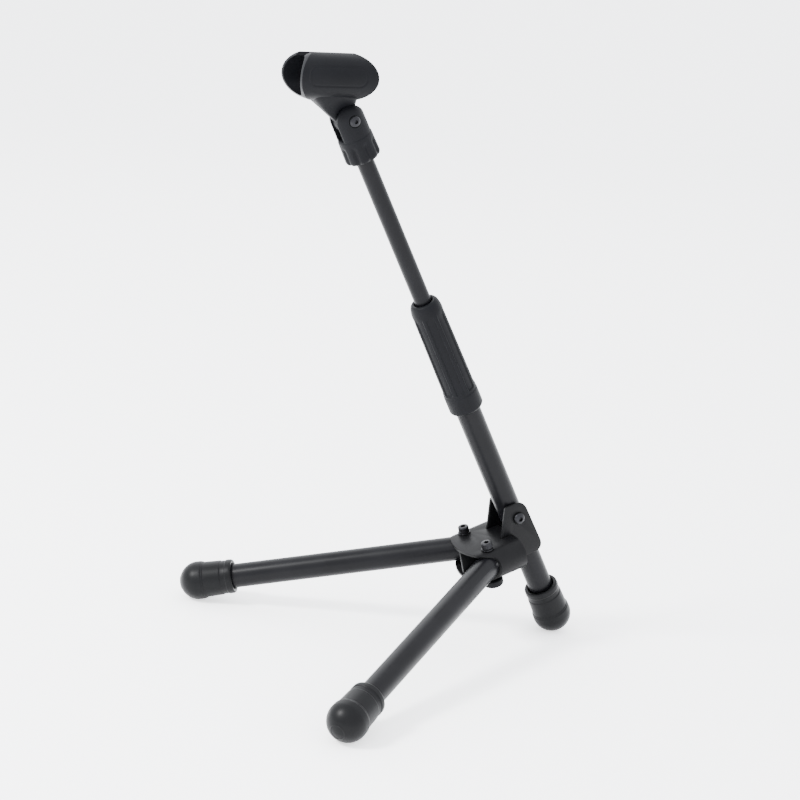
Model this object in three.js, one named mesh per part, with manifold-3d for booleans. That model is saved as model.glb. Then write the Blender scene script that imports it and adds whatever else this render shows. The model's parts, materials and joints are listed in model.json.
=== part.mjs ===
// A small folding microphone stand: two splayed legs and a leaning two-part mast that share one
// pressed hub, and a microphone clip on a swivel base. Millimetres, +Z up, the clip end towards -Y.
import * as THREE from "three";
import { mergeVertices } from "three/addons/utils/BufferGeometryUtils.js";
import Module from "manifold-3d";

const wasm = await Module();
wasm.setup();

// Driving dimensions.
const TUBE_R = 9; // legs and lower mast
const TUBE_WALL = 1.5;
const ROD_R = 6; // upper mast
const ROD_WALL = 1.2;
const GAP = 0.3; // clearance left wherever two parts meet
const ROUND = 32; // facets round a large turned part
const ROUND_SMALL = 16; // facets round a fastener

const PIVOT_HEIGHT = 66.37; // centre of the leg pivots above the floor
const PIVOT_X = 17.08;
const HUB_PITCH = THREE.MathUtils.degToRad(17.59); // the hub and legs slope down to the front
const LEG_SPLAY = THREE.MathUtils.degToRad(32.08);
const LEG_LENGTH = 204.81; // pivot to the centre of the foot's dome
const MAST_LEAN = THREE.MathUtils.degToRad(29.54);
const MAST_Y = 78.84; // where the mast's axis meets the floor

// Stations along the mast's axis, measured from the floor.
const REAR_DOME_AT = 16;
const EAR_BOLT_AT = 112;
const MAST_TOP_AT = 283;
const GRIP_FROM = 208.7;
const GRIP_TO = 299.3;
const ROD_FROM = 229.6;
const BASE_FROM = 413.7;
const CLIP_HINGE_AT = 443.5;

const DOME_R = 14.4;
const HUB_R = 12; // side radius of the pressed hub housing
const PLATE = 2;
const EAR_INNER_X = 9.5;
const EAR_OUTER_X = 11.5;

const FINISHES = {
  paint: { color: 0x141416, roughness: 0.3, metalness: 0.2 },
  satin: { color: 0x1b1b1d, roughness: 0.5, metalness: 0.3 },
  rubber: { color: 0x1a1a1b, roughness: 0.9, metalness: 0 },
  plastic: { color: 0x17181a, roughness: 0.6, metalness: 0 },
  nylon: { color: 0x26262a, roughness: 0.6, metalness: 0 },
  steel: { color: 0x2a2a2c, roughness: 0.35, metalness: 0.9 },
  brass: { color: 0xb08d48, roughness: 0.35, metalness: 1 },
};

// ---- Solids -----------------------------------------------------------------------------------

function toSolid(geometry) {
  const bare = geometry.clone();
  bare.deleteAttribute("normal");
  bare.deleteAttribute("uv");
  const merged = mergeVertices(bare, 1e-4);
  return new wasm.Manifold(
    new wasm.Mesh({
      numProp: 3,
      vertProperties: merged.attributes.position.array,
      triVerts: new Uint32Array(merged.index.array),
    }),
  );
}

function toGeometry(solid) {
  const mesh = solid.getMesh();
  return new THREE.BufferGeometry()
    .setAttribute("position", new THREE.BufferAttribute(mesh.vertProperties, 3))
    .setIndex(new THREE.BufferAttribute(mesh.triVerts, 1));
}

function combine(operation, first, others) {
  const solid = others.reduce((left, other) => left[operation](toSolid(other)), toSolid(first));
  return toGeometry(solid);
}

const join = (first, ...others) => combine("add", first, others);
const cut = (first, ...others) => combine("subtract", first, others);
const overlap = (first, ...others) => combine("intersect", first, others);

// A profile of [radius, height] pairs turned about Z.
function turned(profile, facets = ROUND) {
  const points = profile.map(([radius, height]) => new THREE.Vector2(radius, height));
  return new THREE.LatheGeometry(points, facets).rotateX(Math.PI / 2);
}

function disc(radius, from, to, facets = ROUND_SMALL) {
  return turned([[0, from], [radius, from], [radius, to], [0, to]], facets);
}

function ring(outer, inner, from, to, facets = ROUND_SMALL) {
  return turned([[inner, from], [outer, from], [outer, to], [inner, to], [inner, from]], facets);
}

// A six-sided prism, measured across its flats.
function hexagon(acrossFlats, from, to) {
  return disc(acrossFlats / Math.sqrt(3), from, to, 6);
}

function block(x0, x1, y0, y1, z0, z1) {
  const middle = [(x0 + x1) / 2, (y0 + y1) / 2, (z0 + z1) / 2];
  return new THREE.BoxGeometry(x1 - x0, y1 - y0, z1 - z0).translate(...middle);
}

// An outline drawn in XY and raised along Z.
function raised(shape, from, to, curveSegments = 8) {
  const options = { depth: to - from, bevelEnabled: false, curveSegments };
  return new THREE.ExtrudeGeometry(shape, options).translate(0, 0, from);
}

// The same for an outline drawn in YZ, raised along X.
function raisedAlongX(shape, from, to, curveSegments = 8) {
  const turn = new THREE.Matrix4().makeBasis(
    new THREE.Vector3(0, 1, 0),
    new THREE.Vector3(0, 0, 1),
    new THREE.Vector3(1, 0, 0),
  );
  return raised(shape, from, to, curveSegments).applyMatrix4(turn);
}

// The same for an outline drawn in XZ, raised along Y.
function raisedAlongY(shape, from, to, curveSegments = 8) {
  return raised(shape, -to, -from, curveSegments).rotateX(Math.PI / 2);
}

const alongX = (geometry) => geometry.rotateY(Math.PI / 2);
const alongY = (geometry) => geometry.rotateX(Math.PI / 2);

function arc(centreR, centreZ, radius, fromDegrees, toDegrees, steps) {
  return Array.from({ length: steps + 1 }, (_, i) => {
    const angle = THREE.MathUtils.degToRad(
      fromDegrees + ((toDegrees - fromDegrees) * i) / steps,
    );
    return [centreR + radius * Math.cos(angle), centreZ + radius * Math.sin(angle)];
  });
}

// ---- Frames -----------------------------------------------------------------------------------

const stand = new THREE.Group();

// X across, Y to the rear along the housing, Z square to its plates, origin between the leg pivots.
const hubFrame = new THREE.Group();
hubFrame.position.set(0, 0, PIVOT_HEIGHT);
hubFrame.rotation.x = HUB_PITCH;
stand.add(hubFrame);

// Z along the mast's axis from the floor.
const mastFrame = new THREE.Group();
mastFrame.position.set(0, MAST_Y, 0);
mastFrame.rotation.x = MAST_LEAN;
stand.add(mastFrame);

// Level, with its origin on the clip's tilt hinge.
const clipFrame = new THREE.Group();
clipFrame.position.set(
  0,
  MAST_Y - CLIP_HINGE_AT * Math.sin(MAST_LEAN),
  CLIP_HINGE_AT * Math.cos(MAST_LEAN),
);
stand.add(clipFrame);

function piece(parent, name, finish, geometry) {
  const mesh = new THREE.Mesh(geometry, new THREE.MeshStandardMaterial(FINISHES[finish]));
  mesh.name = name;
  parent.add(mesh);
  return mesh;
}

// ---- Hub --------------------------------------------------------------------------------------

function obround(radius) {
  const shape = new THREE.Shape();
  shape.absarc(PIVOT_X, 0, radius, -Math.PI / 2, Math.PI / 2, false);
  shape.absarc(-PIVOT_X, 0, radius, Math.PI / 2, (3 * Math.PI) / 2, false);
  return shape;
}

// Plan of the housing: a shallow curved front lip, cut back at both sides for the legs to spread.
function housingPlan() {
  const shape = new THREE.Shape();
  shape.moveTo(-30, 3.2);
  shape.quadraticCurveTo(-24.6, 1.8, -23.6, -3.5);
  shape.quadraticCurveTo(-23, -8.4, -18.5, -11.2);
  shape.quadraticCurveTo(0, -20.4, 18.5, -11.2);
  shape.quadraticCurveTo(23, -8.4, 23.6, -3.5);
  shape.quadraticCurveTo(24.6, 1.8, 30, 3.2);
  shape.lineTo(30, HOUSING_REAR);
  shape.lineTo(-30, HOUSING_REAR);
  shape.closePath();
  return shape;
}

const HOUSING_REAR = 24.5;
const EAR_SLOT_FRONT = 15;

// Room inside the lip for a leg at full spread.
function legRelief(sign) {
  const relief = alongY(disc(TUBE_R + GAP + 0.1, 0, 40, ROUND));
  return relief.rotateZ(sign * LEG_SPLAY).translate(sign * PIVOT_X, 0, 0);
}

function housing() {
  const shell = obround(HUB_R);
  shell.holes.push(new THREE.Path(obround(HUB_R - PLATE).getPoints(10).reverse()));
  const tube = raisedAlongY(shell, -20, 26, 10);
  const trimmed = overlap(tube, raised(housingPlan(), -20, 20, 6));
  const slots = [-1, 1].map((side) => {
    const middle = (side * (EAR_INNER_X + EAR_OUTER_X)) / 2;
    const half = (EAR_OUTER_X - EAR_INNER_X) / 2 + GAP;
    return block(middle - half, middle + half, EAR_SLOT_FRONT, 30, 5, 15);
  });
  const holes = [-PIVOT_X, PIVOT_X].map((x) => disc(2.8, -15, 15).translate(x, 0, 0));
  return cut(trimmed, ...slots, ...holes, legRelief(-1), legRelief(1));
}

function earOutline() {
  const shape = new THREE.Shape();
  shape.moveTo(13, -9.6);
  shape.lineTo(43.2, -9.3);
  shape.quadraticCurveTo(47.8, -7.5, 47.1, -2);
  shape.lineTo(40.2, 27.3);
  shape.quadraticCurveTo(38.4, 33.9, 33, 34.3);
  shape.lineTo(24.4, 34.7);
  shape.quadraticCurveTo(22.6, 34.7, 22.2, 33.2);
  shape.lineTo(15.5, 12.3);
  shape.lineTo(15.5, 9.6);
  shape.lineTo(13, 9.6);
  shape.closePath();
  return shape;
}

// Where the ear bolt crosses the hub's frame.
const boltY =
  MAST_Y * Math.cos(HUB_PITCH) -
  PIVOT_HEIGHT * Math.sin(HUB_PITCH) -
  EAR_BOLT_AT * Math.sin(MAST_LEAN - HUB_PITCH);
const boltZ =
  -MAST_Y * Math.sin(HUB_PITCH) -
  PIVOT_HEIGHT * Math.cos(HUB_PITCH) +
  EAR_BOLT_AT * Math.cos(MAST_LEAN - HUB_PITCH);

// Two ears joined by a web inside the housing, with a fin forward between the legs.
function clevis() {
  const ears = [-EAR_OUTER_X, EAR_INNER_X].map((x) =>
    raisedAlongX(earOutline(), x, x + PLATE, 5),
  );
  const web = block(-EAR_OUTER_X, EAR_OUTER_X, 13, 15, -9.6, 9.6);
  const fin = block(-1.2, 1.2, -14.6, 14, -9.6, 9.6);
  const boltHole = alongX(disc(3.3, -20, 20)).translate(0, boltY, boltZ);
  return cut(join(web, ...ears, fin), boltHole);
}

function socketScrew(headRadius, headHeight, shankRadius, shankLength, socket, round) {
  const edge = round ? headHeight * 0.75 : 0.5;
  const crown = round ? headRadius * 0.5 : headRadius - 0.5;
  const body = turned(
    [
      [0, -shankLength],
      [shankRadius, -shankLength],
      [shankRadius, 0],
      [headRadius, 0],
      [headRadius, headHeight - edge],
      [crown, headHeight],
      [0, headHeight],
    ],
    ROUND_SMALL,
  );
  return cut(body, hexagon(socket, headHeight * 0.45, headHeight + 1));
}

function hexNut(acrossFlats, height, bore) {
  return cut(hexagon(acrossFlats, 0, height), disc(bore, -1, height + 1, 12));
}

function nutCap() {
  const body = turned([
    [0, -17.6],
    [5.7, -17.6],
    [6.9, -17.1],
    [7.3, -16],
    [7.3, -12.3],
    [0, -12.3],
  ]);
  return cut(body, hexagon(8.7, -16.6, -11));
}

function buildHub() {
  piece(hubFrame, "hub_housing", "satin", housing());
  piece(hubFrame, "hub_clevis", "satin", clevis());
  for (const [side, x] of [["left", -PIVOT_X], ["right", PIVOT_X]]) {
    const add = (name, finish, geometry) =>
      piece(hubFrame, `${name}_${side}`, finish, geometry.translate(x, 0, 0));
    add("pivot_washer", "steel", ring(4.7, 2.8, 12.3, 13.1));
    add("pivot_screw", "steel", socketScrew(4, 4.4, 2.5, 29.6, 3.4, false).translate(0, 0, 13.4));
    add("pivot_bush", "nylon", ring(4, 2.8, -8.9, 8.9));
    add("pivot_nut", "steel", hexNut(8, 3.6, 2.8).translate(0, 0, -16.3));
    add("nut_cap", "plastic", nutCap());
  }
  const bolt = alongX(socketScrew(4.4, 3, 3, 34, 3.4, true)).translate(11.8, boltY, boltZ);
  piece(hubFrame, "ear_bolt", "steel", bolt);
  const washer = alongX(ring(6, 3.3, -12.8, -11.8)).translate(0, boltY, boltZ);
  piece(hubFrame, "ear_washer", "steel", washer);
  const nut = alongX(hexNut(10, 6, 3.3)).translate(-19.1, boltY, boltZ);
  piece(hubFrame, "ear_nut", "steel", nut);
}

// ---- Feet -------------------------------------------------------------------------------------

// The same rubber foot on all three tubes: a ball with a grooved sleeve, its centre at the origin.
const TUBE_INTO_FOOT = 4;

function footBody() {
  return turned([
    [0, -DOME_R],
    ...arc(0, 0, DOME_R, -75, 0, 6),
    [13.6, 4.6],
    [13.2, 6],
    [12.8, 18],
    [12.3, 18.4],
    [12.3, 22.4],
    [12.7, 22.8],
    [12.4, 27],
    [TUBE_R + GAP, 27],
    [TUBE_R + GAP, TUBE_INTO_FOOT - GAP],
    [0, TUBE_INTO_FOOT - GAP],
  ]);
}

// A foot carried to its place on the tube, then trimmed flat where it rests on the floor.
function restingFoot(parent, offset) {
  stand.updateMatrixWorld(true);
  const placed = footBody().applyMatrix4(offset).applyMatrix4(parent.matrixWorld);
  return cut(placed, block(-400, 400, -400, 400, -40, 0));
}

// ---- Legs -------------------------------------------------------------------------------------

// Plan of a leg's hub end: rounded about the pivot so that it can turn inside the housing.
function roundedEndPlan(radius) {
  const shape = new THREE.Shape();
  shape.moveTo(-radius, -400);
  shape.lineTo(radius, -400);
  shape.absarc(0, 0, radius, 0, Math.PI, false);
  shape.closePath();
  return raised(shape, -20, 20, 10);
}

function legTube() {
  const end = LEG_LENGTH - TUBE_INTO_FOOT;
  const tube = alongY(ring(TUBE_R, TUBE_R - TUBE_WALL, -12, end, ROUND));
  return cut(overlap(tube, roundedEndPlan(TUBE_R + 0.01)), disc(4.3, -15, 15));
}

function legInsert() {
  const plug = alongY(disc(TUBE_R - TUBE_WALL - GAP, -6, 18, ROUND));
  return cut(overlap(plug, roundedEndPlan(TUBE_R - 0.6)), disc(4.3, -15, 15));
}

function buildLeg(side, sign) {
  const legFrame = new THREE.Group();
  legFrame.position.x = sign * PIVOT_X;
  legFrame.rotation.z = sign * LEG_SPLAY;
  hubFrame.add(legFrame);
  piece(legFrame, `leg_tube_${side}`, "paint", legTube());
  piece(legFrame, `leg_insert_${side}`, "plastic", legInsert());
  const alongLeg = new THREE.Matrix4()
    .makeTranslation(0, -LEG_LENGTH, 0)
    .multiply(new THREE.Matrix4().makeRotationX(-Math.PI / 2));
  piece(stand, `foot_${side}`, "rubber", restingFoot(legFrame, alongLeg));
}

// ---- Mast -------------------------------------------------------------------------------------

function mastTube() {
  const from = REAR_DOME_AT + TUBE_INTO_FOOT;
  const tube = ring(TUBE_R, TUBE_R - TUBE_WALL, from, MAST_TOP_AT, ROUND);
  return cut(tube, alongX(disc(4.3, -20, 20)).translate(0, 0, EAR_BOLT_AT));
}

// The clutch grip: a plain collar, a body with long recessed flats and a rounded nose.
const GRIP_FLUTES = 8;

function clutchGrip() {
  const nose = GRIP_TO - 14;
  const body = turned(
    [
      [TUBE_R + GAP + 0.05, GRIP_FROM],
      [11.3, GRIP_FROM],
      [12.5, GRIP_FROM + 1.6],
      [12.5, GRIP_FROM + 14],
      [12.2, GRIP_FROM + 15],
      [11.6, nose],
      [11.1, nose + 7],
      [10.2, nose + 12],
      [9.2, GRIP_TO],
      [7, GRIP_TO],
      [7, GRIP_TO - 3],
      [TUBE_R + GAP + 0.05, GRIP_TO - 6],
      [TUBE_R + GAP + 0.05, GRIP_FROM],
    ],
    ROUND,
  );
  const flute = block(10.9, 15, -1.7, 1.7, GRIP_FROM + 17.5, nose - 1.5);
  const flutes = Array.from({ length: GRIP_FLUTES }, (_, i) =>
    flute.clone().rotateZ(((i + 0.5) * 2 * Math.PI) / GRIP_FLUTES),
  );
  return cut(body, ...flutes);
}

// A flanged bush in the tube's mouth that guides the rod.
function clutchBush() {
  const fit = TUBE_R - TUBE_WALL - GAP;
  const bore = ROD_R + GAP;
  return turned([
    [bore, MAST_TOP_AT - 11],
    [fit, MAST_TOP_AT - 11],
    [fit, MAST_TOP_AT + GAP],
    [8.9, MAST_TOP_AT + GAP],
    [8.9, MAST_TOP_AT + 2.3],
    [bore, MAST_TOP_AT + 2.3],
    [bore, MAST_TOP_AT - 11],
  ]);
}

// A split ring squeezed onto the rod by the grip's inner cone.
function clutchCollet() {
  const from = MAST_TOP_AT + 2.6;
  const bore = ROD_R + GAP;
  const body = turned([
    [bore, from],
    [8.8, from],
    [8.8, from + 6.5],
    [7.2, from + 9.5],
    [bore, from + 9.5],
    [bore, from],
  ]);
  return cut(body, block(0, 12, -0.8, 0.8, from - 1, from + 12));
}

function buildMast() {
  piece(mastFrame, "mast_tube", "paint", mastTube());
  const rearDome = new THREE.Matrix4().makeTranslation(0, 0, REAR_DOME_AT);
  piece(stand, "foot_rear", "rubber", restingFoot(mastFrame, rearDome));
  const earBush = alongX(ring(4, 3.3, -9.2, 9.2)).translate(0, 0, EAR_BOLT_AT);
  piece(mastFrame, "ear_bush", "nylon", earBush);
  piece(mastFrame, "clutch_bush", "plastic", clutchBush());
  piece(mastFrame, "clutch_collet", "nylon", clutchCollet());
  piece(mastFrame, "clutch_grip", "plastic", clutchGrip());
}

// ---- Upper rod and swivel base ----------------------------------------------------------------

// A slider inside the mast that carries the rod's lower end.
function rodGuide() {
  const fit = TUBE_R - TUBE_WALL - GAP;
  const bore = ROD_R + GAP;
  return turned([
    [2, ROD_FROM - 5.6],
    [fit, ROD_FROM - 5.6],
    [fit, ROD_FROM + 8.4],
    [bore, ROD_FROM + 8.4],
    [bore, ROD_FROM - GAP],
    [2, ROD_FROM - GAP],
    [2, ROD_FROM - 5.6],
  ]);
}

const BASE_R = 12.2;
const BASE_FLUTES = 9;
const FORK_HALF = 10.2;
const FORK_INNER_X = 4.2;

// Side view of the fork: rounded over the hinge, running down into the collar.
function forkOutline() {
  const shape = new THREE.Shape();
  shape.moveTo(-FORK_HALF, -14);
  shape.lineTo(FORK_HALF, -14);
  shape.absarc(0, 0, FORK_HALF, 0, Math.PI, false);
  shape.closePath();
  return shape;
}

function swivelBase() {
  const collarTop = BASE_FROM + 17;
  const collar = turned([
    [0, BASE_FROM],
    [10.4, BASE_FROM],
    [11.8, BASE_FROM + 1.4],
    [BASE_R, BASE_FROM + 3.4],
    [BASE_R - 0.2, collarTop - 1],
    [BASE_R - 1.2, collarTop],
    [0, collarTop],
  ]);
  const fluteProfile = disc(2.2, BASE_FROM - 2, collarTop - 5, 10).translate(BASE_R + 1.3, 0, 0);
  const flutes = Array.from({ length: BASE_FLUTES }, (_, i) =>
    fluteProfile.clone().rotateZ(((i + 0.5) * 2 * Math.PI) / BASE_FLUTES),
  );
  const column = disc(11.9, collarTop - 3, CLIP_HINGE_AT + 14, ROUND);
  const fork = overlap(
    raisedAlongX(forkOutline(), -12, 12, 8).translate(0, 0, CLIP_HINGE_AT),
    column,
  );
  const slot = block(-FORK_INNER_X, FORK_INNER_X, -20, 20, collarTop, 470);
  const hinge = alongX(disc(2.4, -20, 20)).translate(0, 0, CLIP_HINGE_AT);
  const head = alongX(disc(4.1, 10.2, 16)).translate(0, 0, CLIP_HINGE_AT);
  const nut = alongX(hexagon(7.6, -16, -10.2)).translate(0, 0, CLIP_HINGE_AT);
  const bore = disc(10.1, BASE_FROM - 2, BASE_FROM + 14.2, ROUND);
  return cut(join(collar, fork), ...flutes, slot, hinge, head, nut, bore);
}

function buildRod() {
  const rod = ring(ROD_R, ROD_R - ROD_WALL, ROD_FROM, BASE_FROM + 10, 24);
  piece(mastFrame, "rod_guide", "nylon", rodGuide());
  piece(mastFrame, "upper_rod", "paint", rod);
  const stud = cut(
    disc(7.85, BASE_FROM + 0.4, BASE_FROM + 13.4, ROUND),
    disc(ROD_R + GAP, BASE_FROM - 2, BASE_FROM + 10.3, 24),
  );
  piece(mastFrame, "rod_stud", "steel", stud);
  const insert = ring(9.8, 8.15, BASE_FROM + 0.4, BASE_FROM + 13.8, ROUND);
  piece(mastFrame, "base_insert", "brass", insert);
  piece(mastFrame, "swivel_base", "plastic", swivelBase());
  const screw = alongX(socketScrew(3.8, 2.6, 2, 22.6, 2.5, true));
  piece(mastFrame, "hinge_screw", "steel", screw.translate(10.5, 0, CLIP_HINGE_AT));
  const nut = alongX(hexNut(7, 2.4, 2.3)).translate(-12.9, 0, CLIP_HINGE_AT);
  piece(mastFrame, "hinge_nut", "steel", nut);
}

// ---- Microphone clip --------------------------------------------------------------------------

const CLIP_OUTER_R = 16;
const CLIP_INNER_R = 13.2;
const CLIP_AXIS_Z = 28; // above the tilt hinge
const CLIP_FRONT_Y = -43;
const CLIP_REAR_Y = 12.5;
const MOUTH_HALF = THREE.MathUtils.degToRad(22);
const MOUTH_CENTRE = THREE.MathUtils.degToRad(97); // the +X jaw reaches nearer the top

// Section of the clip: an open ring with its mouth upwards.
function jawSection() {
  const shape = new THREE.Shape();
  const from = MOUTH_CENTRE + MOUTH_HALF;
  const to = MOUTH_CENTRE - MOUTH_HALF + 2 * Math.PI;
  shape.absarc(0, 0, CLIP_OUTER_R, from, to, false);
  shape.absarc(0, 0, CLIP_INNER_R, to, from, true);
  shape.closePath();
  return shape;
}

// Side view of both jaws: a level top edge and two full round ends.
function jawOutline() {
  const shape = new THREE.Shape();
  const half = CLIP_OUTER_R + 0.01;
  shape.absellipse(CLIP_REAR_Y - 19, 0, 19, half, -Math.PI / 2, Math.PI / 2, false, 0);
  shape.absellipse(CLIP_FRONT_Y + 16, 0, 16, half, Math.PI / 2, 1.5 * Math.PI, false, 0);
  return shape;
}

// Side view of the stem that runs from the jaws down to the hinge lug.
function stemOutline() {
  const shape = new THREE.Shape();
  shape.moveTo(3, 16);
  shape.lineTo(-31, 16);
  shape.lineTo(-30, 12.6);
  shape.quadraticCurveTo(-21, 9, -9.2, -1.5);
  shape.absarc(0, 0, 9.3, Math.PI + 0.15, 2 * Math.PI + 0.25, false);
  shape.quadraticCurveTo(3.4, 7, 3, 16);
  return shape;
}

function micClip() {
  const section = raisedAlongY(jawSection(), CLIP_FRONT_Y - 2, CLIP_REAR_Y + 2, 14);
  const side = raisedAlongX(jawOutline(), -CLIP_OUTER_R - 1, CLIP_OUTER_R + 1, 8);
  const jaws = overlap(section, side).translate(0, 0, CLIP_AXIS_Z);
  const stem = raisedAlongX(stemOutline(), -FORK_INNER_X + GAP, FORK_INNER_X - GAP, 6);
  const microphone = alongY(disc(CLIP_INNER_R, -60, 60, ROUND)).translate(0, 0, CLIP_AXIS_Z);
  const hinge = alongX(disc(3.3, -20, 20));
  return join(cut(stem, microphone, hinge), jaws);
}

function buildClip() {
  piece(clipFrame, "mic_clip", "plastic", micClip());
  const bush = alongX(ring(3, 2.3, -FORK_INNER_X + GAP, FORK_INNER_X - GAP));
  piece(clipFrame, "clip_bush", "nylon", bush);
}

buildHub();
buildLeg("left", -1);
buildLeg("right", 1);
buildMast();
buildRod();
buildClip();

// The middle of the footprint goes to the origin.
stand.updateMatrixWorld(true);
const extent = new THREE.Box3().setFromObject(stand, true);
stand.position.y = -(extent.min.y + extent.max.y) / 2;

export default stand;
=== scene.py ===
"""A small folding microphone stand: two splayed legs, a leaning telescopic mast and a clip.

Shapes are given in millimetres in the frame of the part they belong to and placed by the joints
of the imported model.
"""

import json
import math

import bmesh
import bpy
from mathutils import Matrix, Vector


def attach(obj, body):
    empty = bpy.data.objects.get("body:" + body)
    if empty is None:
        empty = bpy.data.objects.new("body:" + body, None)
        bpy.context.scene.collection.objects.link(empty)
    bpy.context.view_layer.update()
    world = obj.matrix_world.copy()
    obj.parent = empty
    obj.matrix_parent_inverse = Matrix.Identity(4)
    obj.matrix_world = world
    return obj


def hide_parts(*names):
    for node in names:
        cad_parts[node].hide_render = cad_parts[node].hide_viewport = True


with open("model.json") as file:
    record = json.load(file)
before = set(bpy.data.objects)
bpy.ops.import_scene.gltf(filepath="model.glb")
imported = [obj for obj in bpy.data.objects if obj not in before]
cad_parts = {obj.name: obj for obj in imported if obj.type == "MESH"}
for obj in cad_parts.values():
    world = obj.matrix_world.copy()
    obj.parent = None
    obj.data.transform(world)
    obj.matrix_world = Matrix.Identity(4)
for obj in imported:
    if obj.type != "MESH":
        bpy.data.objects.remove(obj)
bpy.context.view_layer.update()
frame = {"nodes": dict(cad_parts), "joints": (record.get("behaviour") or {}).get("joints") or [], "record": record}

MM = 0.001
SMOOTH_ANGLE = math.radians(32)
HOLE_SIDES = 32
SIDES = (("left", -1), ("right", 1))

# ---- Frames, from the joints ------------------------------------------------------------------

JOINTS = {joint["name"]: joint for joint in frame["joints"]}


def joint_place(name):
    return Vector(JOINTS[name]["pos_m"])


pivot_left = joint_place("leg_left_fold")
pivot_right = joint_place("leg_right_fold")
hub_up = Vector(JOINTS["leg_left_fold"]["axis"])
mast_up = Vector(JOINTS["rod_slide"]["axis"])
HUB_PITCH = -math.atan2(hub_up.y, hub_up.z)
MAST_LEAN = -math.atan2(mast_up.y, mast_up.z)
LEG_SPLAY = math.radians(32.08)
PIVOT_X = pivot_right.x / MM

# X across, Y to the rear along the housing, Z square to its plates.
HUB = Matrix.Translation((pivot_left + pivot_right) / 2) @ Matrix.Rotation(HUB_PITCH, 4, "X")

# Z along the mast's axis, its origin where that axis meets the floor.
ear_bolt = joint_place("mast_fold")
mast_base = ear_bolt - mast_up * (ear_bolt.z / mast_up.z)
MAST = Matrix.Translation(mast_base) @ Matrix.Rotation(MAST_LEAN, 4, "X")
CLIP = Matrix.Translation(joint_place("clip_tilt"))


def leg_frame(sign):
    return (
        HUB
        @ Matrix.Translation((sign * PIVOT_X * MM, 0, 0))
        @ Matrix.Rotation(sign * LEG_SPLAY, 4, "Z")
    )


# ---- Sizes shared by several parts ------------------------------------------------------------

TUBE_R = 9.0
TUBE_WALL = 1.5
ROD_R = 6.01
BUSH_HOLE_R = 4.3
FOOT_OVERLAP = 4.0
LEG_LENGTH = 204.81
REAR_DOME_AT = 16.0
EAR_BOLT_AT = (ear_bolt - mast_base).length / MM
CLIP_HINGE_AT = (joint_place("clip_tilt") - mast_base).length / MM
MAST_TOP_AT = 283.0
GRIP_FROM = 208.7
GRIP_TO = 299.3
ROD_FROM = 229.6
BASE_FROM = 413.7

# ---- Mesh helpers -----------------------------------------------------------------------------


def mesh_object(name, mesh):
    piece = bpy.data.objects.new(name, mesh)
    bpy.context.scene.collection.objects.link(piece)
    return piece


def from_bmesh(name, work):
    bmesh.ops.recalc_face_normals(work, faces=work.faces)
    mesh = bpy.data.meshes.new(name)
    work.to_mesh(mesh)
    work.free()
    return mesh_object(name, mesh)


def apply_modifiers(piece):
    graph = bpy.context.evaluated_depsgraph_get()
    mesh = bpy.data.meshes.new_from_object(piece.evaluated_get(graph))
    piece.modifiers.clear()
    piece.data = mesh


def boolean(piece, cutter, operation):
    """Cuts piece by cutter, or keeps what they share. The cutter is used up."""
    modifier = piece.modifiers.new(operation, "BOOLEAN")
    modifier.operation = operation
    modifier.solver = "EXACT"
    modifier.object = cutter
    apply_modifiers(piece)
    bpy.data.objects.remove(cutter)


def cut(piece, *cutters):
    for cutter in cutters:
        boolean(piece, cutter, "DIFFERENCE")
    return piece


def merge(name, pieces):
    """One object from several closed shells."""
    work = bmesh.new()
    for piece in pieces:
        piece.data.transform(piece.matrix_basis)
        work.from_mesh(piece.data)
        bpy.data.objects.remove(piece)
    return from_bmesh(name, work)


def soften(piece, width, segments=3):
    """Rounds every hard edge."""
    modifier = piece.modifiers.new("edge", "BEVEL")
    modifier.width = width
    modifier.segments = segments
    modifier.limit_method = "ANGLE"
    modifier.angle_limit = SMOOTH_ANGLE
    apply_modifiers(piece)
    return piece


def transformed(piece, matrix):
    piece.data.transform(matrix)
    return piece


def surface_of_revolution(name, profile, radius_at=None, around=96):
    """A closed profile of (radius, height) about Z. radius_at(angle, r, z) may reshape it."""
    work = bmesh.new()
    rings = []
    for radius, height in profile:
        if radius == 0:
            rings.append([work.verts.new((0, 0, height))] * around)
            continue
        ring = []
        for i in range(around):
            angle = 2 * math.pi * i / around
            reach = radius_at(angle, radius, height) if radius_at else radius
            ring.append(work.verts.new((reach * math.cos(angle), reach * math.sin(angle), height)))
        rings.append(ring)
    closed = profile[0][0] > 0
    pairs = list(zip(rings, rings[1:] + rings[:1] if closed else rings[1:]))
    for lower, upper in pairs:
        for i in range(around):
            j = (i + 1) % around
            corners = list(dict.fromkeys((lower[i], lower[j], upper[j], upper[i])))
            if len(corners) > 2:
                work.faces.new(corners)
    return from_bmesh(name, work)


def rounded(points, radius, steps=5):
    """The corners of an open profile rounded off, its two ends kept."""
    path = [Vector(point) for point in points]
    result = [tuple(path[0])]
    for before, corner, after in zip(path, path[1:], path[2:]):
        back = before - corner
        ahead = after - corner
        reach = min(radius, back.length * 0.45, ahead.length * 0.45)
        start = corner + back.normalized() * reach
        end = corner + ahead.normalized() * reach
        for i in range(steps + 1):
            t = i / steps
            result.append(tuple(start * (1 - t) ** 2 + corner * 2 * t * (1 - t) + end * t**2))
    result.append(tuple(path[-1]))
    return result


def rounded_loop(points, radius, steps=5):
    """The corners of a closed outline rounded off."""
    middle = [(points[0][i] + points[-1][i]) / 2 for i in range(2)]
    return rounded([middle, *points, middle], radius, steps)[:-1]


def curve(start, control, end, steps=10):
    """Points on a quadratic curve, without its first."""
    result = []
    for i in range(1, steps + 1):
        t = i / steps
        result.append(
            tuple((1 - t) ** 2 * a + 2 * t * (1 - t) * b + t**2 * c
                  for a, b, c in zip(start, control, end))
        )
    return result


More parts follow.
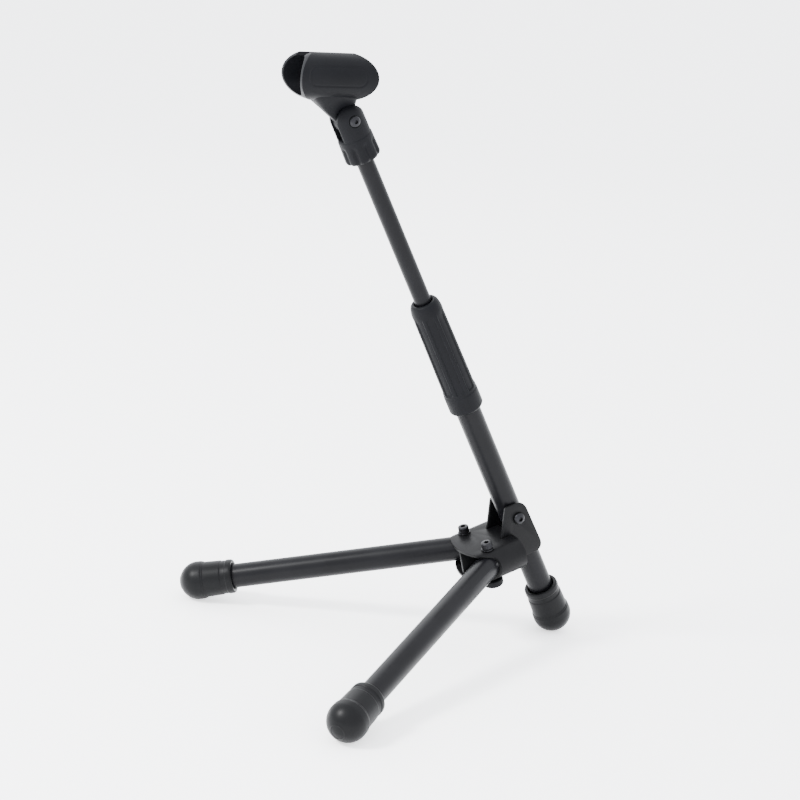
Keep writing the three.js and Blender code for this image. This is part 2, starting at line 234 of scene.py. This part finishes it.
def arc(centre, radius, start, end, steps):
    """Points on a circular or elliptical arc, in degrees."""
    across, up = radius if isinstance(radius, tuple) else (radius, radius)
    angles = [math.radians(start + (end - start) * i / steps) for i in range(steps + 1)]
    return [(centre[0] + across * math.cos(a), centre[1] + up * math.sin(a)) for a in angles]


# Turns for a shape drawn along Z, and for where an outline's two directions and thickness go.
ALONG_X = Matrix.Rotation(math.pi / 2, 4, "Y")
ALONG_Y = Matrix.Rotation(math.pi / 2, 4, "X")
FLAT = Matrix.Identity(4)
SIDEWAYS = Matrix(((0, 0, 1, 0), (1, 0, 0, 0), (0, 1, 0, 0), (0, 0, 0, 1)))
FACING = Matrix(((1, 0, 0, 0), (0, 0, -1, 0), (0, 1, 0, 0), (0, 0, 0, 1)))


def prism(name, outline, low, high, turn=FLAT):
    """An outline raised from low to high along its own normal, then turned."""
    work = bmesh.new()
    face = work.faces.new([work.verts.new((a, b, low)) for a, b in outline])
    raised = bmesh.ops.extrude_face_region(work, geom=[face])["geom"]
    tops = [item for item in raised if isinstance(item, bmesh.types.BMVert)]
    bmesh.ops.translate(work, vec=(0, 0, high - low), verts=tops)
    return transformed(from_bmesh(name, work), turn)


def rod(name, radius, low, high, around=64):
    return surface_of_revolution(
        name, [(0, low), (radius, low), (radius, high), (0, high)], around=around
    )


def cross_hole(radius, centre):
    """A cutter along X for the hole of a bolt."""
    hole = transformed(rod("hole", radius, -20, 20, HOLE_SIDES), ALONG_X)
    return transformed(hole, Matrix.Translation(centre))


def box(name, low, high):
    outline = [(low[0], low[1]), (high[0], low[1]), (high[0], high[1]), (low[0], high[1])]
    return prism(name, outline, low[2], high[2])


# ---- Materials --------------------------------------------------------------------------------


def new_material(name):
    material = bpy.data.materials.new(name)
    material.use_nodes = True
    nodes = material.node_tree.nodes
    shader = nodes["Principled BSDF"]
    return material, nodes, material.node_tree.links, shader


def noise(nodes, links, scale, detail, coordinates):
    texture = nodes.new("ShaderNodeTexNoise")
    texture.inputs["Scale"].default_value = scale
    texture.inputs["Detail"].default_value = detail
    links.new(coordinates, texture.inputs["Vector"])
    return texture.outputs["Fac"]


def ramp(nodes, links, value, low, high):
    """Spreads a texture value between two levels."""
    spread = nodes.new("ShaderNodeMapRange")
    spread.inputs["From Min"].default_value = 0.3
    spread.inputs["From Max"].default_value = 0.7
    spread.inputs["To Min"].default_value = low
    spread.inputs["To Max"].default_value = high
    links.new(value, spread.inputs["Value"])
    return spread.outputs["Result"]


def tint(nodes, links, value, dark, light):
    mix = nodes.new("ShaderNodeMix")
    mix.data_type = "RGBA"
    mix.inputs["A"].default_value = (*dark, 1)
    mix.inputs["B"].default_value = (*light, 1)
    links.new(value, mix.inputs["Factor"])
    return mix.outputs["Result"]


def bump(nodes, links, height, strength, distance):
    node = nodes.new("ShaderNodeBump")
    node.inputs["Strength"].default_value = strength
    node.inputs["Distance"].default_value = distance
    links.new(height, node.inputs["Height"])
    return node.outputs["Normal"]


MOTTLE_SCALE = 45
GRAIN_STRENGTH = 0.6


def finish(name, dark, light, roughness, grain, relief, metallic=0.0, specular=0.5):
    """A moulded, painted or machined surface: mottled colour and gloss over a fine grain.

    grain is the scale of the fine texture and relief its depth in metres.
    """
    material, nodes, links, shader = new_material(name)
    coordinates = nodes.new("ShaderNodeTexCoord").outputs["Object"]
    broad = noise(nodes, links, MOTTLE_SCALE, 3, coordinates)
    fine = noise(nodes, links, grain, 4, coordinates)
    links.new(tint(nodes, links, ramp(nodes, links, broad, 0, 1), dark, light),
              shader.inputs["Base Color"])
    links.new(ramp(nodes, links, broad, *roughness), shader.inputs["Roughness"])
    links.new(bump(nodes, links, fine, GRAIN_STRENGTH, relief), shader.inputs["Normal"])
    shader.inputs["Metallic"].default_value = metallic
    shader.inputs["Specular IOR Level"].default_value = specular
    return material


MATERIALS = {
    "black_paint": finish(
        "gloss_paint", (0.0018, 0.0018, 0.0024), (0.0030, 0.0030, 0.0038),
        (0.30, 0.38), 900, 0.00002, specular=0.10),
    "satin_black": finish(
        "powder_coat", (0.0017, 0.0017, 0.0020), (0.0032, 0.0032, 0.0036),
        (0.40, 0.50), 1800, 0.00005, specular=0.09),
    "foot_rubber": finish(
        "moulded_rubber", (0.0016, 0.0017, 0.0020), (0.0030, 0.0031, 0.0035),
        (0.34, 0.44), 1400, 0.00004, specular=0.09),
    "black_plastic": finish(
        "moulded_plastic", (0.0020, 0.0021, 0.0028), (0.0033, 0.0035, 0.0044),
        (0.42, 0.54), 2200, 0.00005, specular=0.07),
    "black_nylon": finish(
        "nylon", (0.010, 0.010, 0.011), (0.016, 0.016, 0.017),
        (0.45, 0.55), 2000, 0.00003, specular=0.2),
    "black_steel": finish(
        "oxide_steel", (0.008, 0.008, 0.0095), (0.018, 0.018, 0.020),
        (0.32, 0.44), 1600, 0.00002, metallic=0.9),
    "brass": finish(
        "brass", (0.50, 0.35, 0.14), (0.62, 0.45, 0.20),
        (0.25, 0.38), 1200, 0.00002, metallic=1.0),
}


def place(piece, matrix, body, slot_name, *nodes):
    """Carries a piece drawn in millimetres to its frame and ties it to its body and CAD nodes."""
    piece.data.transform(matrix @ Matrix.Scale(MM, 4))
    piece.data.materials.clear()
    piece.data.materials.append(MATERIALS[slot_name])
    piece.data.shade_smooth()
    piece.data.set_sharp_from_angle(angle=SMOOTH_ANGLE)
    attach(piece, body)
    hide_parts(*nodes)
    return piece


# ---- Hub --------------------------------------------------------------------------------------

HOUSING_FRONT = 22
HOUSING_REAR = 24.5
HOUSING_OUTER_R = 12
HOUSING_INNER_R = 10
SHEET_EDGE = 0.45
LEG_CLEARANCE = 0.4
PIVOT_SCREW_HOLE_R = 2.8
EAR_X = (9.5, 11.5)
EAR_SLOT_HALF = 1.3
EAR_SLOT_FROM = 15
EAR_BOLT_HOLE_R = 3.3
WEB = ((-11.4, 13.1, -9.5), (11.4, 15, 9.5))
FIN = ((-1.2, -14.6, -9.6), (1.2, 13.5, 9.6))
BOLT_IN_HUB = (HUB.inverted() @ ear_bolt) / MM


def obround(radius):
    return arc((PIVOT_X, 0), radius, -90, 90, 36) + arc((-PIVOT_X, 0), radius, 90, 270, 36)


def housing_plan():
    """A shallow curved lip in front, cut back at both sides for the legs to spread."""
    right = (
        [(0, -15.8)]
        + curve((0, -15.8), (10, -15.4), (18.5, -11.2), 12)
        + curve((18.5, -11.2), (23, -8.4), (23.6, -3.5), 10)
        + curve((23.6, -3.5), (24.6, 1.8), (30, 3.2), 10)
        + [(30, HOUSING_REAR)]
    )
    return right + [(-x, y) for x, y in reversed(right[1:])]


def hub_housing():
    """A flattened tube, cut to the plan, with slots for the ears and room for the legs."""
    outside = obround(HOUSING_OUTER_R)
    shell = prism("hub_housing_shell", outside, -HOUSING_REAR, HOUSING_FRONT, FACING)
    cut(shell, prism("hollow", obround(HOUSING_INNER_R), -40, 40, FACING))
    boolean(shell, prism("plan", housing_plan(), -20, 20), "INTERSECT")
    for _, sign in SIDES:
        middle = sign * sum(EAR_X) / 2
        at_pivot = Matrix.Translation((sign * PIVOT_X, 0, 0))
        along_leg = at_pivot @ Matrix.Rotation(sign * LEG_SPLAY, 4, "Z") @ ALONG_Y
        slot_low = (middle - EAR_SLOT_HALF, EAR_SLOT_FROM, 5)
        slot_high = (middle + EAR_SLOT_HALF, 30, 15)
        cut(
            shell,
            box("slot", slot_low, slot_high),
            transformed(rod("screw_hole", PIVOT_SCREW_HOLE_R, -15, 15, HOLE_SIDES), at_pivot),
            transformed(rod("relief", TUBE_R + LEG_CLEARANCE, 0, 40), along_leg),
        )
    soften(shell, SHEET_EDGE)
    place(shell, HUB, "hub", "satin_black", "hub_housing")


def hub_clevis():
    """Two ears, the web between them and the fin that divides the legs."""
    outline = (
        [(13, -9.6), (43.2, -9.3)]
        + curve((43.2, -9.3), (47.8, -7.5), (47.1, -2), 8)
        + [(40.2, 27.3)]
        + curve((40.2, 27.3), (38.4, 33.9), (33, 34.3), 12)
        + [(24.4, 34.7)]
        + curve((24.4, 34.7), (22.6, 34.7), (22.2, 33.2), 6)
        + [(15.5, 12.3), (15.5, 9.6), (13, 9.6)]
    )
    parts = []
    for _, sign in SIDES:
        low, high = sorted(sign * x for x in EAR_X)
        ear = prism("ear", outline, low, high, SIDEWAYS)
        cut(ear, cross_hole(EAR_BOLT_HOLE_R, BOLT_IN_HUB))
        parts.append(soften(ear, SHEET_EDGE))
    parts.append(soften(box("web", *WEB), 0.3))
    parts.append(soften(box("fin", *FIN), 0.4))
    place(merge("hub_clevis_ears", parts), HUB, "hub", "satin_black", "hub_clevis")


def knurl(depth, from_radius, low, high, count):
    """Fine ridges round the side of a screw's head."""

    def radius_at(angle, radius, height):
        if radius > from_radius and low < height < high:
            return radius - depth * (0.5 + 0.5 * math.cos(count * angle))
        return radius

    return radius_at


def hexagon(across_flats, low, high, name="hexagon"):
    return rod(name, across_flats / math.sqrt(3), low, high, 6)


def cap_screw(name):
    """A socket-head cap screw, its head standing on the origin."""
    head = 4.0
    top = 4.4
    shank = 2.5
    tip = -29.6
    ridges = knurl(depth=0.18, from_radius=head - 0.05, low=0.6, high=3.6, count=24)
    profile = [(0, tip), (shank - 0.4, tip), (shank, tip + 0.6), (shank, 0)]
    profile += [(head - 0.3, 0), (head - 0.05, 0.2)]
    profile += [(head, 0.5 + 0.35 * i) for i in range(10)]
    profile += [(head - 0.1, top - 0.4), (head - 0.3, top - 0.15), (head - 0.6, top), (0, top)]
    screw = surface_of_revolution(name, profile, ridges, 192)
    return cut(screw, hexagon(3.4, 2.1, 6))


def button_screw(name, head_radius, head_height, shank_radius, length, socket):
    """A button-head screw with a domed head."""
    dome = arc((0, 0.7), (head_radius, head_height - 0.7), 0, 70, 14)
    profile = (
        [(0, -length), (shank_radius, -length), (shank_radius, 0), (head_radius - 0.2, 0)]
        + [(head_radius, 0.25)]
        + dome
        + [(0, head_height)]
    )
    return cut(surface_of_revolution(name, profile), hexagon(socket, head_height * 0.4, 9))


def nut(name, across_flats, height, bore):
    """A hexagon nut with its corners turned down at both faces."""
    corner = across_flats / math.sqrt(3)
    body = hexagon(across_flats, 0, height, name)
    crown = surface_of_revolution(
        "crown",
        [(0, -0.1), (corner * 0.90, 0), (corner + 0.1, 0.9), (corner + 0.1, height - 0.9),
         (corner * 0.90, height), (0, height + 0.1)],
        around=64,
    )
    boolean(body, crown, "INTERSECT")
    return cut(body, rod("bore", bore, -1, height + 1, HOLE_SIDES))


def washer(name, outer, inner, low, high):
    profile = rounded_loop([(inner, low), (outer, low), (outer, high), (inner, high)], 0.2, 3)
    return surface_of_revolution(name, profile, around=64)


PIVOT_HEAD_AT = 13.4
EAR_HEAD_AT = 11.8
EAR_NUT_AT = -19.1


def pivot_fasteners():
    for side, sign in SIDES:
        at = HUB @ Matrix.Translation((sign * PIVOT_X * MM, 0, 0))
        lift = Matrix.Translation((0, 0, PIVOT_HEAD_AT * MM))
        screw = cap_screw(f"pivot_cap_screw_{side}")
        place(screw, at @ lift, "hub", "black_steel", f"pivot_screw_{side}")
        ring = washer(f"pivot_flat_washer_{side}", outer=4.7, inner=2.8, low=12.3, high=13.1)
        place(ring, at, "hub", "black_steel", f"pivot_washer_{side}")
        cap = surface_of_revolution(
            f"pivot_nut_cap_{side}",
            [(0, -17.75)]
            + rounded([(4, -17.7), (6.6, -17.5), (7.3, -16.2), (7.3, -12.3), (0, -12.3)], 1.1, 6),
        )
        place(cap, at, "hub", "black_plastic", f"nut_cap_{side}")


def ear_fasteners():
    at = HUB @ Matrix.Translation(BOLT_IN_HUB * MM) @ ALONG_X
    bolt = button_screw(
        "ear_button_screw", head_radius=4.4, head_height=3, shank_radius=2.95, length=34,
        socket=3.4,
    )
    at_head = at @ Matrix.Translation((0, 0, EAR_HEAD_AT * MM))
    place(bolt, at_head, "hub", "black_steel", "ear_bolt")
    ring = washer("ear_flat_washer", outer=6, inner=3.3, low=-12.8, high=-11.8)
    place(ring, at, "hub", "black_steel", "ear_washer")
    lock = nut("ear_lock_nut", across_flats=10, height=6, bore=3.3)
    at_nut = at @ Matrix.Translation((0, 0, EAR_NUT_AT * MM))
    place(lock, at_nut, "hub", "black_steel", "ear_nut")


# ---- Feet, legs and lower mast ----------------------------------------------------------------

DOME_R = 14.4
DISC_RING = (5.2, 5.7)
DISC_RING_DEPTH = 0.22
FOOT_BORE_END = 3.7
STUB_END = 50


def foot():
    """A rubber foot: a ball with a grooved sleeve and a faint disc moulded into its end."""
    inner, outer = DISC_RING
    ball = [
        (r, z - DISC_RING_DEPTH if inner < r < outer else z)
        for r, z in arc((0, 0), DOME_R, -90, -4, 44)
        if r > 0.01
    ]
    outside = rounded(
        [ball[-1], (14.2, 3.6), (13.75, 4.4), (13.75, 5.0), (13.35, 5.5), (12.95, 18), (12.5, 18.6),
         (12.45, 22.2), (12.9, 22.8), (12.75, 26.2), (12.1, 27.2), (10.4, 27.1), (9.7, 26.2),
         (9.4, 22), (9.3, FOOT_BORE_END)],
        0.55,
        4,
    )
    profile = [(0, -DOME_R)] + ball + outside[1:] + [(0, FOOT_BORE_END)]
    return surface_of_revolution("foot", profile, around=128)


def resting_foot(name, matrix, body, node):
    """A foot in its place, trimmed flat where it rests on the floor."""
    piece = foot()
    piece.name = name
    place(piece, matrix, body, "foot_rubber", node)
    cut(piece, box("floor_cut", (-1, -1, -1), (1, 1, 0)))
    piece.data.shade_smooth()
    piece.data.set_sharp_from_angle(angle=SMOOTH_ANGLE)


def tube_between(name, start, end):
    """A length of leg tube, running out from the pivot."""
    inner = TUBE_R - TUBE_WALL
    profile = [(inner, start), (TUBE_R, start), (TUBE_R, end), (inner, end)]
    return transformed(surface_of_revolution(name, profile), ALONG_Y)


def hub_end(radius):
    """Plan of a leg's inner end, rounded about its pivot."""
    outline = [(-radius, -60), (radius, -60)] + arc((0, 0), radius, 0, 180, 36)
    return prism("hub_end", outline, -20, 20)


def leg(side, sign):
    """A tube whose inner end is rounded about its pivot, with a rubber foot."""
    matrix = leg_frame(sign)
    body = f"leg_{side}"
    stub = tube_between("stub", -12, STUB_END)
    boolean(stub, hub_end(TUBE_R), "INTERSECT")
    cut(stub, rod("hole", BUSH_HOLE_R, -15, 15, HOLE_SIDES))
    length = tube_between("length", STUB_END, LEG_LENGTH - FOOT_OVERLAP)
    tube = merge(f"leg_{side}_tube", [stub, length])
    place(tube, matrix, body, "black_paint", f"leg_tube_{side}")
    at_dome = Matrix.Translation((0, -LEG_LENGTH * MM, 0)) @ Matrix.Rotation(-math.pi / 2, 4, "X")
    resting_foot(f"leg_{side}_rubber_foot", matrix @ at_dome, body, f"foot_{side}")


def mast():
    inner = TUBE_R - TUBE_WALL
    low = REAR_DOME_AT + FOOT_OVERLAP
    profile = [(inner, low), (TUBE_R, low)]
    profile += [(TUBE_R, z) for z in (80, 140, MAST_TOP_AT)] + [(inner, MAST_TOP_AT)]
    tube = surface_of_revolution("mast_lower_tube", profile)
    cut(tube, cross_hole(BUSH_HOLE_R, (0, 0, EAR_BOLT_AT)))
    place(tube, MAST, "mast", "black_paint", "mast_tube")
    at_dome = MAST @ Matrix.Translation((0, 0, REAR_DOME_AT * MM))
    resting_foot("mast_rubber_foot", at_dome, "mast", "foot_rear")


# ---- Clutch grip ------------------------------------------------------------------------------

GRIP_PANELS = 8
PANEL_FROM = GRIP_FROM + 16.6
PANEL_TO = GRIP_TO - 7
PANEL_HALF = 3.6
PANEL_CORNER = 1.6
PANEL_DEPTH = 0.8
PANEL_FADE = 8
GRIP_R = 12.2
GRIP_NOSE_R = 11.6
GRIP_MOUTH_R = 10.5


def ease(value):
    value = min(1.0, max(0.0, value))
    return value * value * (3 - 2 * value)


def panel_depth(angle, radius, height):
    """Depth of the long recessed panels between the grip's ribs, fading out at the nose."""
    pitch = 2 * math.pi / GRIP_PANELS
    across = abs((angle / pitch) % 1 - 0.5) * pitch * radius
    middle = (PANEL_FROM + PANEL_TO) / 2
    offset_x = across - PANEL_HALF + PANEL_CORNER
    offset_y = abs(height - middle) - (PANEL_TO - PANEL_FROM) / 2 + PANEL_CORNER
    outside = math.hypot(max(offset_x, 0), max(offset_y, 0))
    distance = outside + min(max(offset_x, offset_y), 0) - PANEL_CORNER
    fade = ease((PANEL_TO - height) / PANEL_FADE)
    return PANEL_DEPTH * ease(-distance / 0.8) * fade


def grip():
    """The clutch's twist grip: a plain ring below, a tapering ribbed body and a rounded nose."""
    nose = GRIP_TO - 14
    outside = rounded(
        [(9.6, GRIP_FROM), (11.6, GRIP_FROM), (12.5, GRIP_FROM + 1.3), (12.5, GRIP_FROM + 13.8),
         (12.15, GRIP_FROM + 14.8)],
        0.5,
        4,
    )
    body_from = GRIP_FROM + 15.3
    steps = 150
    body = []
    for i in range(steps + 1):
        t = i / steps
        radius = GRIP_R + (GRIP_NOSE_R - GRIP_R) * t
        body.append((radius, body_from + (nose - body_from) * t))
    tip = curve((GRIP_NOSE_R, nose), (11.3, GRIP_TO - 2.5), (9.2, GRIP_TO - 0.7), 24)
    mouth = [(8.8, GRIP_TO - 0.2), (8.2, GRIP_TO), (7.2, GRIP_TO - 0.15), (6.7, GRIP_TO - 0.8),
             (6.6, GRIP_TO - 3), (9.4, GRIP_TO - 6)]

    def radius_at(angle, radius, height):
        if radius < GRIP_MOUTH_R or not PANEL_FROM <= height <= PANEL_TO:
            return radius
        return radius - panel_depth(angle, radius, height)

    piece = surface_of_revolution(
        "clutch_twist_grip", outside + body + tip + mouth + [(9.4, GRIP_FROM)], radius_at, 320
    )
    place(piece, MAST, "grip", "black_plastic", "clutch_grip")


# ---- Upper rod and swivel base ----------------------------------------------------------------

BASE_LOBES = 9
LOBE_DEPTH = 1.0
LOBES_TO = BASE_FROM + 14.5
COLLAR_TOP = BASE_FROM + 18
FORK_HALF = 10.2
FORK_HALF_WIDTH = 11.6
FORK_SLOT_X = 4.2
HINGE_HOLE_R = 2.4
HINGE_HEAD_AT = 10.5
HINGE_NUT_AT = -12.9


def upper_rod():
    inner = ROD_R - 1.2
    profile = [(inner, ROD_FROM), (ROD_R, ROD_FROM), (ROD_R, BASE_FROM + 10),
               (inner, BASE_FROM + 10)]
    place(surface_of_revolution("upper_rod_tube", profile), MAST, "rod", "black_paint",
          "upper_rod")


def collar():
    """The ribbed collar that screws onto the rod."""
    top = COLLAR_TOP
    steps = 60
    side = []
    for i in range(steps + 1):
        t = i / steps
        side.append((12.3 - 0.4 * t, BASE_FROM + 2.4 + (top - BASE_FROM - 4) * t))
    profile = (
        [(8.2, BASE_FROM + 0.2), (10.3, BASE_FROM)]
        + curve((10.3, BASE_FROM), (12.0, BASE_FROM + 0.2), (12.3, BASE_FROM + 2.4), 8)[:-1]
        + side
        + curve((11.9, top - 1.6), (11.8, top - 0.2), (10.6, top), 6)
        + [(8.2, top)]
    )

    def radius_at(angle, radius, height):
        if radius < 9:
            return radius
        fade = ease((LOBES_TO - height) / 4)
        wave = 0.5 + 0.5 * math.cos(BASE_LOBES * angle)
        return radius - LOBE_DEPTH * fade * wave**3

    return surface_of_revolution("collar", profile, radius_at, 288)


def fork():
    """The two ears above the collar that hold the clip's lug."""
    outline = [(-FORK_HALF, -15), (FORK_HALF, -15)] + arc((0, 0), FORK_HALF, 0, 180, 40)
    lift = Matrix.Translation((0, 0, CLIP_HINGE_AT))
    ears = prism("fork", outline, -FORK_HALF_WIDTH, FORK_HALF_WIDTH, SIDEWAYS)
    transformed(ears, lift)
    column = surface_of_revolution(
        "column",
        [(0, BASE_FROM), (11.7, BASE_FROM), (11.5, CLIP_HINGE_AT + 2)]
        + arc((0, CLIP_HINGE_AT + 2), (11.5, 9.7), 10, 80, 16)
        + [(0, CLIP_HINGE_AT + 11.8)],
    )
    boolean(ears, column, "INTERSECT")
    cut(
        ears,
        box("slot", (-FORK_SLOT_X, -20, COLLAR_TOP - 1), (FORK_SLOT_X, 20, CLIP_HINGE_AT + 26.5)),
        cross_hole(HINGE_HOLE_R, (0, 0, CLIP_HINGE_AT)),
        transformed(rod("head", 4.2, 10.2, 16), lift @ ALONG_X),
        transformed(hexagon(7.6, -16, -10.2), lift @ ALONG_X),
    )
    return soften(ears, 0.7, 4)


def swivel_base():
    place(merge("swivel_base_body", [collar(), fork()]), MAST, "rod", "black_plastic",
          "swivel_base")
    at = MAST @ Matrix.Translation((0, 0, CLIP_HINGE_AT * MM)) @ ALONG_X
    screw = button_screw(
        "hinge_button_screw", head_radius=3.8, head_height=2.6, shank_radius=2, length=22.6,
        socket=2.5,
    )
    at_head = at @ Matrix.Translation((0, 0, HINGE_HEAD_AT * MM))
    place(screw, at_head, "rod", "black_steel", "hinge_screw")
    lock = nut("hinge_hex_nut", across_flats=7, height=2.4, bore=2.3)
    at_nut = at @ Matrix.Translation((0, 0, HINGE_NUT_AT * MM))
    place(lock, at_nut, "rod", "black_steel", "hinge_nut")


# ---- Microphone clip --------------------------------------------------------------------------

CLIP_OUTER_R = 16.0
CLIP_INNER_R = 13.2
CLIP_AXIS_Z = 28.0
CLIP_Y = (-43.0, 12.5)
MOUTH_HALF = math.radians(22)
MOUTH_CENTRE = math.radians(97)
LUG_R = 9.3
LUG_HALF = 3.9
PANEL_MIDDLE_Y = -16.5
PANEL_MIDDLE_Z = 1.2
GROOVE_DEPTH = 0.45
INSET_DEPTH = 0.28


def panel_groove(y, z):
    """Depth of the groove that outlines a rounded panel on each jaw."""
    half = Vector((20.5, 6.0))
    corner = 5.2
    offset = Vector((abs(y - PANEL_MIDDLE_Y), abs(z - PANEL_MIDDLE_Z)))
    offset += Vector((corner, corner)) - half
    outside = Vector((max(offset.x, 0), max(offset.y, 0))).length
    distance = outside + min(max(offset.x, offset.y), 0) - corner
    rim = GROOVE_DEPTH * ease(1 - abs(distance) / 1.1)
    inset = INSET_DEPTH * ease(-distance / 1.2)
    return rim + inset


def jaw_shell():
    """The open ring that both jaws are cut from, with the panel grooves in its outer face."""
    work = bmesh.new()
    around = 220
    along = 130
    start = MOUTH_CENTRE + MOUTH_HALF
    sweep = 2 * math.pi - 2 * MOUTH_HALF
    low = CLIP_Y[0] - 2
    span = CLIP_Y[1] - CLIP_Y[0] + 4

    def grid(radius, grooved):
        rows = []
        for i in range(around + 1):
            angle = start + sweep * i / around
            row = []
            for j in range(along + 1):
                y = low + span * j / along
                z = radius * math.sin(angle)
                sideways = abs(math.cos(angle)) > 0.5
                depth = panel_groove(y, z) if grooved and sideways else 0
                reach = radius - depth
                row.append(work.verts.new((reach * math.cos(angle), y, reach * math.sin(angle))))
            rows.append(row)
        return rows

    outer = grid(CLIP_OUTER_R, True)
    inner = grid(CLIP_INNER_R, False)
    for rows in (outer, inner):
        for a, b in zip(rows, rows[1:]):
            for j in range(along):
                work.faces.new((a[j], a[j + 1], b[j + 1], b[j]))
    for i in (0, -1):
        for j in range(along):
            work.faces.new((outer[i][j], outer[i][j + 1], inner[i][j + 1], inner[i][j]))
    for j in (0, -1):
        for i in range(around):
            work.faces.new((outer[i][j], outer[i + 1][j], inner[i + 1][j], inner[i][j]))
    return from_bmesh("jaw_shell", work)


def stem():
    """The stalk from the hinge lug up to the jaws, widening into their underside."""
    levels = 34
    corners = 48
    work = bmesh.new()
    rings = []
    for i in range(levels + 1):
        t = i / levels
        z = -2 + 20 * t
        rear = 8.2 - 5.2 * ease(t * 1.9)
        front = -9.2 - 26.0 * t
        half = LUG_HALF + 6.7 * ease((t - 0.25) / 0.75)
        middle = (front + rear) / 2
        reach = (rear - front) / 2
        ring = []
        for j in range(corners):
            angle = 2 * math.pi * j / corners
            c = math.cos(angle)
            s = math.sin(angle)
            x = half * math.copysign(abs(c) ** 0.45, c)
            y = middle + reach * math.copysign(abs(s) ** 0.45, s)
            ring.append(work.verts.new((x, y, z)))
        rings.append(ring)
    for lower, upper in zip(rings, rings[1:]):
        for j in range(corners):
            k = (j + 1) % corners
            work.faces.new((lower[j], lower[k], upper[k], upper[j]))
    work.faces.new(rings[0])
    work.faces.new(rings[-1])
    return from_bmesh("stem", work)


def mic_clip():
    """Two jaws with rounded ends on a stem, and the lug that turns in the fork."""
    half = CLIP_OUTER_R + 0.05
    outline = arc((CLIP_Y[1] - 19, 0), (19, half), -90, 90, 40)
    outline += arc((CLIP_Y[0] + 16, 0), (16, half), 90, 270, 40)
    jaws = jaw_shell()
    boolean(jaws, prism("side", outline, -18, 18, SIDEWAYS), "INTERSECT")
    soften(jaws, 0.5)
    transformed(jaws, Matrix.Translation((0, 0, CLIP_AXIS_Z)))
    lug = soften(transformed(rod("lug", LUG_R, -LUG_HALF, LUG_HALF, 96), ALONG_X), 0.4)
    stalk = stem()
    microphone = transformed(
        rod("microphone", CLIP_INNER_R + 0.02, -70, 70, 160),
        Matrix.Translation((0, 0, CLIP_AXIS_Z)) @ ALONG_Y,
    )
    cut(stalk, microphone)
    place(merge("mic_clip_body", [jaws, stalk, lug]), CLIP, "clip", "black_plastic", "mic_clip")


# ---- Everything left as it is in the solid model ----------------------------------------------


def dress_solids():
    """The inner parts keep their solid-model shapes and get their own finish."""
    slots = {part["node"]: part["material_slot"] for part in frame["record"]["subparts"]}
    for name, node in frame["nodes"].items():
        node.data.materials.clear()
        node.data.materials.append(MATERIALS[slots[name]])


# ---- Camera, floor and light ------------------------------------------------------------------

CAMERA_AZIMUTH = math.radians(60.343)
CAMERA_ELEVATION = math.radians(15.976)
CAMERA_ROLL = math.radians(5.726)
CAMERA_DISTANCE = 1.48298
CAMERA_SHIFT = (-0.068704, 0.171459)
CAMERA_LENS = 89.705
SENSOR_WIDTH = 36


def camera():
    sin_a, cos_a = math.sin(CAMERA_AZIMUTH), math.cos(CAMERA_AZIMUTH)
    sin_e, cos_e = math.sin(CAMERA_ELEVATION), math.cos(CAMERA_ELEVATION)
    back = Vector((sin_a * cos_e, -cos_a * cos_e, sin_e))
    right = Vector((cos_a, sin_a, 0))
    up = back.cross(right)
    aim = Vector((0, pivot_left.y, 0)) + right * CAMERA_SHIFT[0] + up * CAMERA_SHIFT[1]
    turned_right = right * math.cos(CAMERA_ROLL) + up * math.sin(CAMERA_ROLL)
    turned_up = up * math.cos(CAMERA_ROLL) - right * math.sin(CAMERA_ROLL)
    data = bpy.data.cameras.new("camera")
    data.lens = CAMERA_LENS
    data.sensor_width = SENSOR_WIDTH
    data.clip_start = 0.01
    eye = bpy.data.objects.new("camera", data)
    bpy.context.scene.collection.objects.link(eye)
    axes = Matrix((turned_right, turned_up, back)).transposed()
    eye.matrix_world = Matrix.Translation(aim + back * CAMERA_DISTANCE) @ axes.to_4x4()
    bpy.context.scene.camera = eye


FLOOR_GLOW = 1.2
FLOOR_HALF = 30
WORLD_COLOUR = (0.94, 0.96, 1, 1)
WORLD_STRENGTH = 3.7


def floor():
    material, nodes, links, shader = new_material("pale_floor")
    coordinates = nodes.new("ShaderNodeTexCoord").outputs["Object"]
    grain = noise(nodes, links, 300, 2, coordinates)
    shader.inputs["Base Color"].default_value = (0.93, 0.93, 0.93, 1)
    links.new(ramp(nodes, links, grain, 0.85, 0.95), shader.inputs["Roughness"])
    shader.inputs["Specular IOR Level"].default_value = 0.1
    shader.inputs["Emission Color"].default_value = (1, 1, 1, 1)
    shader.inputs["Emission Strength"].default_value = FLOOR_GLOW
    low = (-FLOOR_HALF, -FLOOR_HALF, -0.02)
    ground = box("studio_floor", low, (FLOOR_HALF, FLOOR_HALF, -0.0002))
    ground.data.materials.append(material)


def area_light(name, place_at, aim_at, size, power):
    data = bpy.data.lights.new(name, "AREA")
    data.shape = "RECTANGLE"
    data.size, data.size_y = size
    data.energy = power
    lamp = bpy.data.objects.new(name, data)
    bpy.context.scene.collection.objects.link(lamp)
    direction = Vector(aim_at) - Vector(place_at)
    lamp.location = place_at
    lamp.rotation_euler = direction.to_track_quat("-Z", "Y").to_euler()


def lighting():
    world = bpy.data.worlds.new("studio")
    world.use_nodes = True
    background = world.node_tree.nodes["Background"]
    background.inputs["Color"].default_value = WORLD_COLOUR
    background.inputs["Strength"].default_value = WORLD_STRENGTH
    bpy.context.scene.world = world
    middle = (0, 0, 0.2)
    area_light("overhead", (-1.3, 0.5, 1.3), middle, (1.6, 1.4), 10)
    area_light("front", (-0.1, -1.4, 1.35), middle, (0.4, 0.4), 70)


dress_solids()
camera()
hub_housing()
hub_clevis()
pivot_fasteners()
ear_fasteners()
for side, sign in SIDES:
    leg(side, sign)
mast()
grip()
upper_rod()
swivel_base()
mic_clip()
floor()
lighting()
